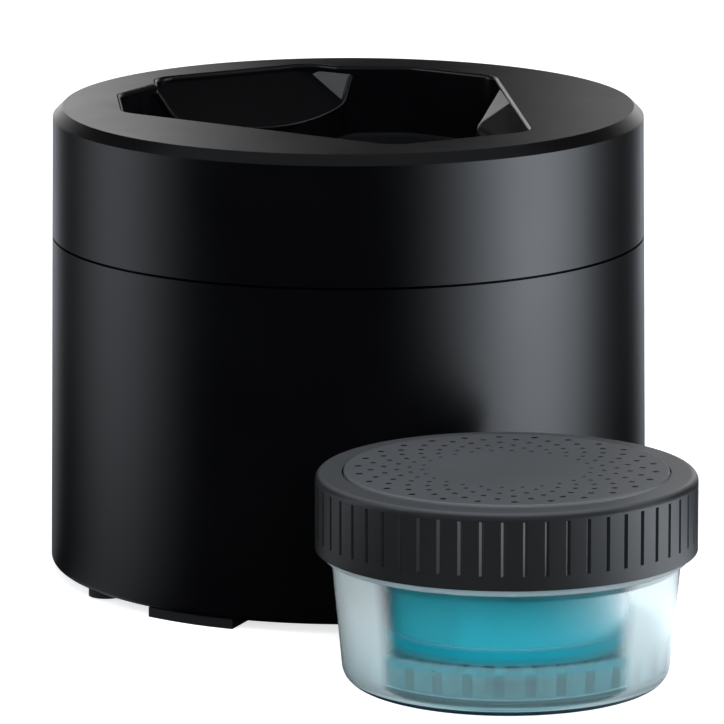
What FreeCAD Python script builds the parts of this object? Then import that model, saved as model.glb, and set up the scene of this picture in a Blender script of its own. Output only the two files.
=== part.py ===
import FreeCAD, Part
import math
import os
import re

import Sketcher

# Cordless shaver cleaning station: a round pod whose top section lifts off its base,
# and a screw-capped cleaning cartridge that stands in front of it.
# Millimetres. The pod's axis is Z, its front faces -Y, and the table is at Z = 0.

os.makedirs("parts", exist_ok=True)
doc = FreeCAD.newDocument("CleaningStation")
sheet = doc.addObject("Spreadsheet::Sheet", "Sizes")

driving_sizes = {
    # pod outside
    "pod_radius": 60.0,
    "draft_width": 1.0,
    "body_height": 94.0,
    "foot_height": 2.0,
    "top_section_height": 26.4,
    "seam_gap": 0.5,
    "casing_wall": 2.6,
    "top_chamfer": 2.0,
    "bottom_round": 1.3,
    "fit_gap": 0.3,
    # joint between base and top section
    "spigot_height": 7.0,
    "spigot_wall": 2.6,
    "seal_lift": 0.9,
    "seal_section": 1.2,
    "key_width": 4.0,
    "key_depth": 3.6,
    # base inside
    "shelf_drop": 8.0,
    "shelf_width": 6.0,
    "shelf_thickness": 2.4,
    "shelf_slope": 4.0,
    "plate_thickness": 2.4,
    "plate_boss_radius": 3.8,
    "plate_boss_height": 14.0,
    "boss_web": 2.0,
    "boss_gap": 0.4,
    "deck_boss_radius": 2.9,
    "deck_boss_height": 10.0,
    "screw_radius": 1.25,
    "screw_head_radius": 2.7,
    "screw_head_height": 1.2,
    "thread_gap": 0.05,
    "hole_gap": 0.35,
    "foot_width": 10.2,
    "foot_inset": 0.8,
    "foot_angle": 19.0,
    "foot_bearing": 62.0,
    "nub_radius": 3.6,
    "nub_inset": 4.6,
    "nub_height": 1.6,
    # cartridge bay
    "bay_gap": 0.7,
    "bay_wall": 2.0,
    "bay_ring_radius": 24.0,
    "bay_ring_wall": 2.0,
    "bay_ring_height": 3.0,
    "flare_rise": 14.6,
    "flare_gap": 0.8,
    "deck_thickness": 2.0,
    "gusset_width": 2.0,
    "gusset_height": 15.0,
    "gusset_reach": 9.0,
    "locator_width": 1.2,
    "locator_height": 0.6,
    # shaver recess
    "top_plate": 2.6,
    "recess_front": 45.0,
    "recess_front_half": 15.8,
    "recess_side": 15.0,
    "recess_side_half": 43.5,
    "recess_back": 48.2,
    "recess_back_half": 18.0,
    "lobe_side": 34.0,
    "lobe_side_half": 34.3,
    "lobe_back": 41.5,
    "lobe_half": 21.5,
    "tongue_corner": 36.5,
    "tongue_half": 19.5,
    "tongue_tip": 32.0,
    "tongue_tip_half": 9.0,
    "tongue_drop": 9.0,
    "tongue_lip": 1.4,
    "cheek_slope": 59.0,
    "convex_round": 6.0,
    "concave_round": 2.5,
    "funnel_depth": 14.0,
    "funnel_wall": 2.2,
    "tongue_wall": 2.0,
    "rim_round": 0.8,
    "recess_depth": 27.0,
    "basin_floor": 3.0,
    "flange_width": 4.0,
    "flange_thickness": 2.0,
    "gasket_thickness": 0.8,
    "dish_radius": 14.5,
    "dish_depth": 1.4,
    "dish_ring_radius": 17.5,
    "dish_centre": 4.0,
    "throat_radius": 9.0,
    "throat_wall": 2.2,
    "nozzle_radius": 12.0,
    "nozzle_thickness": 1.6,
    "nozzle_slot_width": 1.6,
    "throat_seal_height": 3.0,
    "throat_seal_wall": 2.0,
    "basin_boss_radius": 3.2,
    "front_boss_half": 31.0,
    "front_boss_back": -28.0,
    "rear_boss_half": 10.0,
    "rear_boss_back": 39.5,
    "basin_screw_length": 7.0,
    "ear_radius": 5.0,
    # guides on the flanks of the recess
    "guide_start": 5.0,
    "guide_end": 56.0,
    "guide_ridge": 37.0,
    "guide_tip": 25.0,
    "guide_reach": 8.2,
    "guide_drop": 2.6,
    "guide_height": 11.0,
    "guide_round": 1.4,
    # cleaning cartridge
    "cartridge_gap": 2.5,
    "cartridge_bearing": 12.4,
    "cup_radius": 33.7,
    "cup_foot_radius": 31.3,
    "cup_shoulder_height": 24.8,
    "cup_wall": 1.7,
    "cup_floor": 2.6,
    "cup_bottom_round": 3.6,
    "cup_foot_rim_radius": 26.4,
    "cup_foot_recess": 1.0,
    "flange_radius": 35.2,
    "flange_rise": 1.1,
    "neck_radius": 32.6,
    "neck_height": 37.6,
    "rib_height": 6.0,
    "rib_width": 2.0,
    "rib_inner_radius": 21.0,
    "pot_radius": 23.8,
    "pot_wall": 1.0,
    "pot_flange_rise": 26.0,
    "filter_height": 8.0,
    "fluid_height": 33.0,
    "lid_thickness": 1.2,
    "lid_hole_radius": 8.0,
    "lid_slot_width": 3.0,
    "liner_thickness": 0.8,
    "liner_inset": 2.6,
    "cap_radius": 36.8,
    "cap_gap": 0.3,
    "cap_top_thickness": 1.4,
    "cap_thread_gap": 0.8,
    "cap_edge_round": 1.4,
    "groove_width": 0.9,
    "groove_depth": 0.6,
    "groove_lift_height": 2.7,
    "groove_top_gap": 1.6,
    "disc_radius": 31.3,
    "disc_inlay_depth": 0.6,
    "disc_rise_height": 0.55,
    "disc_round": 0.3,
}

for row, (alias, millimetres) in enumerate(driving_sizes.items(), start=1):
    sheet.set(f"A{row}", alias)
    sheet.set(f"B{row}", str(millimetres))
    sheet.setAlias(f"B{row}", alias)
doc.recompute()

# counts
PLATE_SCREWS = 3
DECK_SCREWS = 3
KEYS = 3
DISHES = 3
GUSSETS = 6
NOZZLE_SLOTS = 8
CUP_RIBS = 32
LID_SLOTS = 6
CAP_GROOVES = 56

# levels and radii that several pieces share, as formulas of the sheet's cells
TOP = "(foot_height + body_height)"
SEAM = f"({TOP} - top_section_height)"
BASE_RADIUS = "(pod_radius + draft_width)"
SEAM_RADIUS = "(pod_radius + draft_width * top_section_height / body_height)"
SPIGOT_OUTER = f"({SEAM_RADIUS} - casing_wall - fit_gap)"
SPIGOT_INNER = f"({SPIGOT_OUTER} - spigot_wall)"
SHELF = f"({SEAM} - shelf_drop)"
DECK_RING = f"({SPIGOT_INNER} - shelf_width / 2)"
PLATE_TOP = "(foot_height + plate_thickness)"
PLATE_RING = f"({BASE_RADIUS} - casing_wall - plate_boss_radius - boss_gap)"
BAY_UNDER = f"({PLATE_TOP} + bay_ring_height)"
BAY_FLOOR = f"({BAY_UNDER} + bay_wall)"
BAY_RADIUS = "(flange_radius + bay_gap)"
FLARE_HEIGHT = f"({SHELF} - flare_rise)"
FLARE_RADIUS = f"({SPIGOT_INNER} - shelf_width - bay_wall - flare_gap)"
GUIDE_TOP = f"({TOP} - rim_round)"
FUNNEL_END = f"({TOP} - funnel_depth)"
FLANGE_TOP = f"({FUNNEL_END} - gasket_thickness)"
BASIN_TOP = f"({TOP} - recess_depth)"
BASIN_UNDER = f"({BASIN_TOP} - basin_floor)"
THROAT_OUTER = "(throat_radius + throat_wall)"
FLANGE_TOP_Z = "(cup_shoulder_height + flange_rise)"
NECK_INNER = "(neck_radius - cup_wall)"
POT_UNDER = "(cup_floor + rib_height)"
POT_SHELF = "(pot_flange_rise + pot_wall)"
LID_TOP = "(neck_height + lid_thickness)"
LINER_TOP = f"({LID_TOP} + liner_thickness)"
CAP_END = f"({FLANGE_TOP_Z} + cap_gap)"
CAP_TOP = f"({LINER_TOP} + cap_top_thickness)"
DISC_SEAT = f"({CAP_TOP} - disc_inlay_depth)"
# the throat's collar comes down on the lid of a cartridge that stands in the bay
THROAT_END = f"({BAY_FLOOR} + {LID_TOP} + throat_seal_wall)"


def bound(formula):
    """Name the sheet in front of every cell alias of a formula."""
    return re.sub(r"\b[a-z][a-z_]*[a-z]\b(?!\()", r"Sizes.\g<0>", formula)


def size(alias):
    return float(sheet.get(alias))


def bind(feature, prop, formula):
    feature.setExpression(prop, bound(formula))


def new_body(label):
    body = doc.addObject("PartDesign::Body", label)
    body.Label = label
    return body


def origin_item(body, role):
    return next(item for item in body.Origin.OriginFeatures if item.Role == role)


def new_sketch(body, role, name, lift=None):
    sketch = body.newObject("Sketcher::SketchObject", name)
    sketch.AttachmentSupport = [(origin_item(body, role), "")]
    sketch.MapMode = "FlatFace"
    if lift is not None:
        bind(sketch, "AttachmentOffset.Base.z", lift)
    return sketch


def draw_polygon(sketch, corners):
    """A closed outline, begun as a small ring, with every corner tied to the sheet."""
    first = sketch.GeometryCount
    count = len(corners)
    turns = [math.tau * k / count for k in range(count)]
    ring = [FreeCAD.Vector(math.cos(turn), math.sin(turn), 0) for turn in turns]
    for k in range(count):
        sketch.addGeometry(Part.LineSegment(ring[k], ring[(k + 1) % count]))
    for k in range(count):
        sketch.addConstraint(
            Sketcher.Constraint("Coincident", first + k, 2, first + (k + 1) % count, 1)
        )
    for k, corner in enumerate(corners):
        for kind, formula in zip(("DistanceX", "DistanceY"), corner):
            row = sketch.addConstraint(Sketcher.Constraint(kind, first + k, 1, 1.0))
            bind(sketch, f"Constraints[{row}]", str(formula))
    return sketch


def draw_circle(sketch, across, along, radius):
    geo = sketch.addGeometry(Part.Circle(FreeCAD.Vector(1, 1, 0), FreeCAD.Vector(0, 0, 1), 1.0))
    row = sketch.addConstraint(Sketcher.Constraint("Radius", geo, 1.0))
    bind(sketch, f"Constraints[{row}]", radius)
    for kind, formula in (("DistanceX", across), ("DistanceY", along)):
        row = sketch.addConstraint(Sketcher.Constraint(kind, geo, 3, 1.0))
        bind(sketch, f"Constraints[{row}]", str(formula))
    return sketch


def revolve(body, name, corners, angle=None):
    """Turn a profile of (radius, height) corners about Z."""
    sketch = draw_polygon(new_sketch(body, "XZ_Plane", name + "_profile"), corners)
    turn = body.newObject("PartDesign::Revolution", name)
    turn.Profile = sketch
    turn.ReferenceAxis = (sketch, ["V_Axis"])
    if angle is None:
        turn.Angle = 360
    else:
        turn.Midplane = True
        bind(turn, "Angle", angle)
    body.Tip = turn
    return turn


def pad(body, name, sketch, length, downwards=False, centred=False):
    feature = body.newObject("PartDesign::Pad", name)
    feature.Profile = sketch
    bind(feature, "Length", length)
    feature.Reversed = downwards
    feature.Midplane = centred
    body.Tip = feature
    return feature


def pocket(body, name, sketch, length, upwards=False, centred=False):
    """Cut down from the sketch plane, or up from it, or both ways."""
    feature = body.newObject("PartDesign::Pocket", name)
    feature.Profile = sketch
    bind(feature, "Length", length)
    feature.Reversed = upwards
    feature.Midplane = centred
    body.Tip = feature
    return feature


def around(body, feature, count, name):
    pattern = body.newObject("PartDesign::PolarPattern", name)
    pattern.Originals = [feature]
    pattern.Axis = (origin_item(body, "Z_Axis"), [""])
    pattern.Angle = 360
    pattern.Occurrences = count
    body.Tip = pattern
    return pattern


def circle_edges(shape, radius, height):
    """Names of the full circular edges at one radius and height."""
    names = []
    for number, edge in enumerate(shape.Edges, start=1):
        if not isinstance(edge.Curve, Part.Circle):
            continue
        same_radius = abs(edge.Curve.Radius - radius) < 1e-3
        if same_radius and abs(edge.Curve.Center.z - height) < 1e-3:
            names.append(f"Edge{number}")
    return names


def round_edges(body, name, base, edges, radius):
    feature = body.newObject("PartDesign::Fillet", name)
    feature.Base = (base, edges)
    bind(feature, "Radius", radius)
    body.Tip = feature
    return feature


def edge_touches(edge, across, along):
    """Whether a straight edge has one end above a plan point, and isn't upright."""
    ends = [(vertex.X, vertex.Y) for vertex in edge.Vertexes]
    at_end = [math.dist(end, (across, along)) < 1e-3 for end in ends]
    return at_end.count(True) == 1


def value(formula):
    """The number that a formula of the sheet's cells gives now."""
    gauge.setExpression("Value", bound(formula))
    doc.recompute()
    return gauge.Value


gauge = doc.addObject("App::FeaturePython", "Gauge")
gauge.addProperty("App::PropertyFloat", "Value")

pieces = []


def finish(piece):
    pieces.append(piece)
    return piece


def screw_group(label, places, seat, shank_length, heads_down=True):
    """Pan-head screws in one node; seat is the height of the face under the heads."""
    towards_head = -1 if heads_down else 1
    screws = []
    for number, (across, along) in enumerate(places, start=1):
        shank = doc.addObject("Part::Cylinder", f"{label}_shank_{number}")
        bind(shank, "Radius", "screw_radius")
        bind(shank, "Height", shank_length)
        head = doc.addObject("Part::Cylinder", f"{label}_head_{number}")
        bind(head, "Radius", "screw_head_radius")
        bind(head, "Height", "screw_head_height")
        shank_from = seat if heads_down else f"{seat} - ({shank_length})"
        head_from = f"{seat} - screw_head_height" if heads_down else seat
        for cylinder, start in ((shank, shank_from), (head, head_from)):
            bind(cylinder, "Placement.Base.x", across)
            bind(cylinder, "Placement.Base.y", along)
            bind(cylinder, "Placement.Base.z", start)
        screw = doc.addObject("Part::MultiFuse", f"{label}_{number}")
        screw.Shapes = [shank, head]
        screws.append(screw)
    group = doc.addObject("Part::Compound", label)
    group.Label = label
    group.Links = screws
    return finish(group)


def ring_places(ring, count, first_angle):
    """Formulas of evenly spaced places on a ring."""
    places = []
    for k in range(count):
        angle = first_angle + 360 * k / count
        places.append((f"{ring} * cos({angle})", f"{ring} * sin({angle})"))
    return places


# ---------------------------------------------------------------- base of the pod

def make_base_casing():
    """Lower shell: drafted wall, spigot with its seal groove, shelf, bosses and key slots."""
    body = new_body("base_casing")
    seal_from = f"{SEAM} + seal_lift"
    groove_radius = f"{SPIGOT_OUTER} - seal_section"
    shell = revolve(body, "casing_shell", [
        (f"{BASE_RADIUS} - casing_wall", "foot_height"),
        (BASE_RADIUS, "foot_height"),
        (SEAM_RADIUS, f"{SEAM} - seam_gap / 2"),
        (SPIGOT_OUTER, f"{SEAM} - seam_gap / 2"),
        (SPIGOT_OUTER, seal_from),
        (groove_radius, seal_from),
        (groove_radius, f"{seal_from} + seal_section"),
        (SPIGOT_OUTER, f"{seal_from} + seal_section"),
        (SPIGOT_OUTER, f"{SEAM} + spigot_height"),
        (SPIGOT_INNER, f"{SEAM} + spigot_height"),
        (SPIGOT_INNER, SHELF),
        (f"{SPIGOT_INNER} - shelf_width", SHELF),
        (f"{SPIGOT_INNER} - shelf_width", f"{SHELF} - shelf_thickness"),
        (f"{SEAM_RADIUS} - casing_wall", f"{SHELF} - shelf_thickness - shelf_slope"),
    ])
    doc.recompute()
    edge = circle_edges(shell.Shape, value(BASE_RADIUS), size("foot_height"))
    round_edges(body, "bottom_rounding", shell, edge, "bottom_round")

    posts = draw_circle(
        new_sketch(body, "XY_Plane", "plate_boss_sketch", PLATE_TOP),
        "0", f"-{PLATE_RING}", "plate_boss_radius",
    )
    boss = pad(body, "plate_boss", posts, "plate_boss_height")
    around(body, boss, PLATE_SCREWS, "plate_bosses")
    web = draw_polygon(
        new_sketch(body, "XY_Plane", "boss_web_sketch", PLATE_TOP),
        [
            ("-boss_web / 2", f"-{PLATE_RING} - screw_radius * 2"),
            ("boss_web / 2", f"-{PLATE_RING} - screw_radius * 2"),
            ("boss_web / 2", f"-{BASE_RADIUS} + casing_wall / 2"),
            ("-boss_web / 2", f"-{BASE_RADIUS} + casing_wall / 2"),
        ],
    )
    tie = pad(body, "boss_tie", web, "plate_boss_height")
    around(body, tie, PLATE_SCREWS, "boss_ties")
    hole = draw_circle(
        new_sketch(body, "XY_Plane", "plate_boss_hole_sketch", PLATE_TOP),
        "0", f"-{PLATE_RING}", "screw_radius + thread_gap",
    )
    bore = pocket(body, "plate_boss_hole", hole, "plate_boss_height - casing_wall", upwards=True)
    around(body, bore, PLATE_SCREWS, "plate_boss_holes")

    posts = draw_circle(
        new_sketch(body, "XY_Plane", "deck_boss_sketch", f"{SHELF} - shelf_thickness / 2"),
        "0", DECK_RING, "deck_boss_radius",
    )
    boss = pad(body, "deck_boss", posts, "deck_boss_height", downwards=True)
    around(body, boss, DECK_SCREWS, "deck_bosses")
    hole = draw_circle(
        new_sketch(body, "XY_Plane", "deck_boss_hole_sketch", SHELF),
        "0", DECK_RING, "screw_radius + thread_gap",
    )
    bore = pocket(body, "deck_boss_hole", hole, "deck_boss_height - casing_wall / 2")
    around(body, bore, DECK_SCREWS, "deck_boss_holes")

    half_slot = "(key_width / 2 + fit_gap)"
    slot = draw_polygon(
        new_sketch(body, "XY_Plane", "key_slot_sketch", f"{SEAM} + spigot_height"),
        [
            (f"-{half_slot}", f"{SPIGOT_INNER} - fit_gap"),
            (half_slot, f"{SPIGOT_INNER} - fit_gap"),
            (half_slot, f"{SPIGOT_OUTER} + fit_gap"),
            (f"-{half_slot}", f"{SPIGOT_OUTER} + fit_gap"),
        ],
    )
    cut = pocket(body, "key_slot", slot, "key_depth + fit_gap")
    around(body, cut, KEYS, "key_slots")
    return finish(body)


def make_base_plate():
    """Bottom cover: screw holes, the ring that carries the bay and two side nubs."""
    body = new_body("base_plate")
    plate_radius = f"{BASE_RADIUS} - casing_wall - fit_gap"
    revolve(body, "plate_disc", [
        ("0", "foot_height"),
        (plate_radius, "foot_height"),
        (plate_radius, PLATE_TOP),
        ("bay_ring_radius + bay_ring_wall", PLATE_TOP),
        ("bay_ring_radius + bay_ring_wall", BAY_UNDER),
        ("bay_ring_radius", BAY_UNDER),
        ("bay_ring_radius", PLATE_TOP),
        ("0", PLATE_TOP),
    ])
    for side, name in ((-1, "left_nub"), (1, "right_nub")):
        nub = draw_circle(
            new_sketch(body, "XY_Plane", name + "_sketch", "foot_height"),
            f"{side} * ({BASE_RADIUS} - nub_inset)", "0", "nub_radius",
        )
        pad(body, name, nub, "nub_height", downwards=True)
    hole = draw_circle(
        new_sketch(body, "XY_Plane", "screw_hole_sketch", "foot_height"),
        "0", f"-{PLATE_RING}", "screw_radius + hole_gap",
    )
    cut = pocket(body, "screw_hole", hole, "plate_thickness", upwards=True)
    around(body, cut, PLATE_SCREWS, "screw_holes")
    sink = draw_circle(
        new_sketch(body, "XY_Plane", "screw_sink_sketch", "foot_height"),
        "0", f"-{PLATE_RING}", "screw_head_radius + hole_gap",
    )
    cut = pocket(body, "screw_sink", sink, "screw_head_height", upwards=True)
    around(body, cut, PLATE_SCREWS, "screw_sinks")
    return finish(body)


def make_cartridge_bay():
    """Tub that takes the cartridge, with a flared mouth, a deck and gussets below it."""
    body = new_body("cartridge_bay")
    deck_top = f"{SHELF} + deck_thickness"
    deck_outer = f"{SPIGOT_INNER} - fit_gap"
    locator = "(cup_foot_rim_radius - cup_foot_recess - fit_gap)"
    revolve(body, "tub", [
        ("0", BAY_UNDER),
        (f"{BAY_RADIUS} + bay_wall", BAY_UNDER),
        (f"{BAY_RADIUS} + bay_wall", FLARE_HEIGHT),
        (f"{FLARE_RADIUS} + bay_wall", SHELF),
        (deck_outer, SHELF),
        (deck_outer, deck_top),
        (FLARE_RADIUS, deck_top),
        (BAY_RADIUS, FLARE_HEIGHT),
        (BAY_RADIUS, BAY_FLOOR),
        (locator, BAY_FLOOR),
        (locator, f"{BAY_FLOOR} + locator_height"),
        (f"{locator} - locator_width", f"{BAY_FLOOR} + locator_height"),
        (f"{locator} - locator_width", BAY_FLOOR),
        ("0", BAY_FLOOR),
    ])
    hole = draw_circle(
        new_sketch(body, "XY_Plane", "deck_hole_sketch", deck_top),
        "0", DECK_RING, "screw_radius + hole_gap",
    )
    cut = pocket(body, "deck_hole", hole, "deck_thickness")
    around(body, cut, DECK_SCREWS, "deck_holes")
    bay_outer = f"{BAY_RADIUS} + bay_wall"
    rib = draw_polygon(new_sketch(body, "XZ_Plane", "gusset_sketch"), [
        (f"{bay_outer} - bay_wall / 2", f"{SHELF} - gusset_height"),
        (bay_outer, f"{SHELF} - gusset_height"),
        (f"{bay_outer} + gusset_reach", f"{SHELF} - bay_wall"),
        (f"{bay_outer} + gusset_reach", f"{SHELF} + deck_thickness / 2"),
        (f"{FLARE_RADIUS} + bay_wall", f"{SHELF} + deck_thickness / 2"),
        (f"{bay_outer} - bay_wall / 2", FLARE_HEIGHT),
    ])
    gusset = pad(body, "gusset", rib, "gusset_width", centred=True)
    around(body, gusset, GUSSETS, "gussets")
    return finish(body)


def make_rim_seal():
    """Rubber ring in the spigot's groove, seen as a thin shadow line when the top is on."""
    body = new_body("rim_seal")
    low = f"{SEAM} + seal_lift"
    middle = f"{low} + seal_section / 2"
    inner = f"{SPIGOT_OUTER} - seal_section"
    revolve(body, "seal_ring", [
        (inner, f"{low} + seal_section / 4"),
        (f"{inner} + seal_section / 4", low),
        (f"{inner} + seal_section * 3 / 4", low),
        (SPIGOT_OUTER, f"{low} + seal_section / 4"),
        (SPIGOT_OUTER, f"{middle} + seal_section / 4"),
        (f"{inner} + seal_section * 3 / 4", f"{low} + seal_section"),
        (f"{inner} + seal_section / 4", f"{low} + seal_section"),
        (inner, f"{middle} + seal_section / 4"),
    ])
    return finish(body)


def make_feet():
    """Three rubber feet, arcs that follow the casing's edge."""
    outer = f"({BASE_RADIUS} - foot_inset)"
    bearings = {
        "front_left_foot": -90 - size("foot_bearing"),
        "front_right_foot": -90 + size("foot_bearing"),
        "back_foot": 90.0,
    }
    for label, bearing in bearings.items():
        body = new_body(label)
        revolve(body, label + "_arc", [
            (f"{outer} - foot_width", "0"),
            (outer, "0"),
            (outer, "foot_height"),
            (f"{outer} - foot_width", "foot_height"),
        ], angle="foot_angle")
        body.Placement = FreeCAD.Placement(
            FreeCAD.Vector(), FreeCAD.Rotation(FreeCAD.Vector(0, 0, 1), bearing)
        )
        finish(body)


# ---------------------------------------------------------------- top section

def mirrored(half):
    """A closed outline from the corners of its right half, front to back."""
    return half + [(f"-{across}", along) for across, along in reversed(half)]


def recess_outline(name, half):
    """A recess outline with its outward and inward corners rounded."""
    sketch = doc.addObject("Sketcher::SketchObject", name + "_corners")
    draw_polygon(sketch, mirrored(half))
    steps = [
        ("_shrunk", "-convex_round"),
        ("_convex", "convex_round + concave_round"),
        ("_rounded", "-concave_round"),
    ]
    last = sketch
    for suffix, distance in steps:
        last = offset_outline(name + suffix, last, distance)
    return last


def offset_outline(name, source, distance):
    outline = doc.addObject("Part::Offset2D", name)
    outline.Source = source
    outline.Join = "Arc"
    bind(outline, "Value", distance)
    return outline


def prism(name, outline, start, height):
    """An outline pulled straight up from a level."""
    block = doc.addObject("Part::Extrusion", name)
    block.Base = outline
    block.DirMode = "Custom"
    block.Dir = (0, 0, 1)
    block.Solid = True
    bind(block, "LengthFwd", height)
    bind(block, "Placement.Base.z", start)
    return block


def rod(name, across, along, start, radius, height):
    cylinder = doc.addObject("Part::Cylinder", name)
    bind(cylinder, "Radius", radius)
    bind(cylinder, "Height", height)
    bind(cylinder, "Placement.Base.x", across)
    bind(cylinder, "Placement.Base.y", along)
    bind(cylinder, "Placement.Base.z", start)
    return cylinder


def fuse(name, shapes):
    joined = doc.addObject("Part::MultiFuse", name)
    joined.Shapes = shapes
    return joined


def common(name, shapes):
    shared = doc.addObject("Part::MultiCommon", name)
    shared.Shapes = shapes
    return shared


def cut(name, base, tool):
    difference = doc.addObject("Part::Cut", name)
    difference.Base = base
    difference.Tool = tool
    return difference


def wedge(name, corners):
    """A side profile of (Y, Z) corners, as wide as the pod."""
    body = new_body(name)
    profile = draw_polygon(new_sketch(body, "YZ_Plane", name + "_profile"), corners)
    pad(body, name + "_pad", profile, "pod_radius * 2", centred=True)
    return body


def tongue_cheek(name, side):
    """What fills the corner between the tongue's ramp and the rim beside it."""
    body = new_body(name)
    run = "((tongue_drop - tongue_lip) / tan(cheek_slope))"
    profile = draw_polygon(new_sketch(body, "XZ_Plane", name + "_profile"), [
        (f"-{run}", f"{TOP} - tongue_lip"),
        ("0", f"{TOP} - tongue_lip"),
        (run, f"{TOP} - tongue_drop"),
        (f"-{run}", f"{TOP} - tongue_drop"),
    ])
    pad(body, name + "_pad", profile, "recess_back", centred=True)
    along_rim = math.atan2(
        size("recess_back") - size("lobe_back"), size("lobe_half") - size("recess_back_half")
    )
    towards_middle = 90 + side * math.degrees(math.pi - along_rim)
    body.Placement = FreeCAD.Placement(
        FreeCAD.Vector(side * size("lobe_half"), size("lobe_back"), 0),
        FreeCAD.Rotation(FreeCAD.Vector(0, 0, 1), towards_middle),
    )
    return body


def basin_screw_places():
    return [
        ("front_boss_half", "front_boss_back"),
        ("-front_boss_half", "front_boss_back"),
        ("rear_boss_half", "rear_boss_back"),
        ("-rear_boss_half", "rear_boss_back"),
    ]


front_half = [
    ("recess_front_half", "-recess_front"),
    ("recess_side_half", "recess_side"),
    ("lobe_side_half", "lobe_side"),
    ("lobe_half", "lobe_back"),
]
mouth = recess_outline("mouth", front_half + [("recess_back_half", "recess_back")])
well = recess_outline("well", front_half + [
    ("tongue_half", "tongue_corner"),
    ("tongue_tip_half", "tongue_tip"),
])


def make_top_casing():
    """Upper shell, top ring and the walls of the shaver recess, moulded in one."""
    shell = new_body("top_shell")
    revolve(shell, "top_shell_turn", [
        (f"{SEAM_RADIUS} - casing_wall", f"{SEAM} + seam_gap / 2"),
        (SEAM_RADIUS, f"{SEAM} + seam_gap / 2"),
        ("pod_radius", f"{TOP} - top_chamfer"),
        ("pod_radius - top_chamfer", TOP),
        ("0", TOP),
        ("0", f"{TOP} - top_plate"),
        ("pod_radius - casing_wall", f"{TOP} - top_plate"),
    ])
    key_inner = f"({SPIGOT_INNER} - fit_gap)"
    key_from = f"({SEAM} + spigot_height - key_depth)"
    key_sketch = draw_polygon(
        new_sketch(shell, "XY_Plane", "key_sketch", key_from),
        [
            ("-key_width / 2", key_inner),
            ("key_width / 2", key_inner),
            ("key_width / 2", f"{SEAM_RADIUS} - casing_wall / 2"),
            ("-key_width / 2", f"{SEAM_RADIUS} - casing_wall / 2"),
        ],
    )
    key = pad(shell, "key", key_sketch, "key_depth * 3")
    around(shell, key, KEYS, "keys")

    overlap = "(top_plate / 2)"
    funnel_height = f"funnel_depth - {overlap}"
    walls = prism(
        "funnel_walls", offset_outline("funnel_outline", mouth, "funnel_wall"),
        FUNNEL_END, funnel_height,
    )
    bosses = [
        rod(f"basin_boss_{k}", across, along, FUNNEL_END, "basin_boss_radius", funnel_height)
        for k, (across, along) in enumerate(basin_screw_places(), start=1)
    ]
    holes = [
        rod(f"basin_boss_hole_{k}", across, along, f"{FUNNEL_END} - 1",
            "screw_radius + thread_gap", "basin_screw_length")
        for k, (across, along) in enumerate(basin_screw_places(), start=1)
    ]
    solid = fuse("top_solid", [shell, walls] + bosses)

    deep_cut = prism("deep_cut", well, f"{FUNNEL_END} - 1", "funnel_depth + 2")
    mouth_block = prism("mouth_block", mouth, f"{FUNNEL_END} - 1", "funnel_depth + 2")
    # the tongue is a ramp from the back of the mouth down towards the well
    slope = "((tongue_drop - tongue_lip) / (recess_back - tongue_tip))"
    ramp_low = f"({TOP} - tongue_lip - {slope} * recess_back)"
    ramp_high = f"({TOP} - tongue_lip + {slope})"
    above = wedge("above_tongue", [
        ("0", ramp_low),
        ("recess_back + 1", ramp_high),
        ("recess_back + 1", f"{TOP} + 2"),
        ("0", f"{TOP} + 2"),
    ])
    below = wedge("below_tongue", [
        ("0", f"{ramp_low} - tongue_wall"),
        ("recess_back + 1", f"{ramp_high} - tongue_wall"),
        ("recess_back + 1", f"{FUNNEL_END} - 2"),
        ("0", f"{FUNNEL_END} - 2"),
    ])
    cheeks = fuse("tongue_cheeks", [
        tongue_cheek("left_cheek", -1), tongue_cheek("right_cheek", 1),
    ])
    ramp_cut = cut("ramp_cut", common("ramp_space", [mouth_block, above]), cheeks)
    under_mouth = prism("under_mouth", mouth, f"{FUNNEL_END} - 1", "funnel_depth + 1 - top_plate")
    under_tongue = common("under_tongue", [under_mouth, below])
    well_walls = prism(
        "well_walls", offset_outline("well_outline", well, "funnel_wall"),
        f"{FUNNEL_END} - 2", "funnel_depth + 4",
    )
    # the two rear bosses hang from the tongue, so they stay when its underside is hollowed
    relief = cut("tongue_relief", under_tongue, fuse("below_tongue_kept", [well_walls] + bosses))
    openings = fuse("recess_cuts", [deep_cut, ramp_cut, relief] + holes)
    opened = cut("opened_top", solid, openings)
    top = value(TOP)
    rim = [
        (number, size("rim_round"), size("rim_round"))
        for number, edge in enumerate(opened.Shape.Edges, start=1)
        if edge.BoundBox.ZMin > top - 1e-3 and edge.BoundBox.XLength < size("pod_radius")
    ]
    casing = doc.addObject("Part::Fillet", "top_casing")
    casing.Base = opened
    casing.Edges = rim
    casing.Label = "top_casing"
    return finish(casing)


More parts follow.
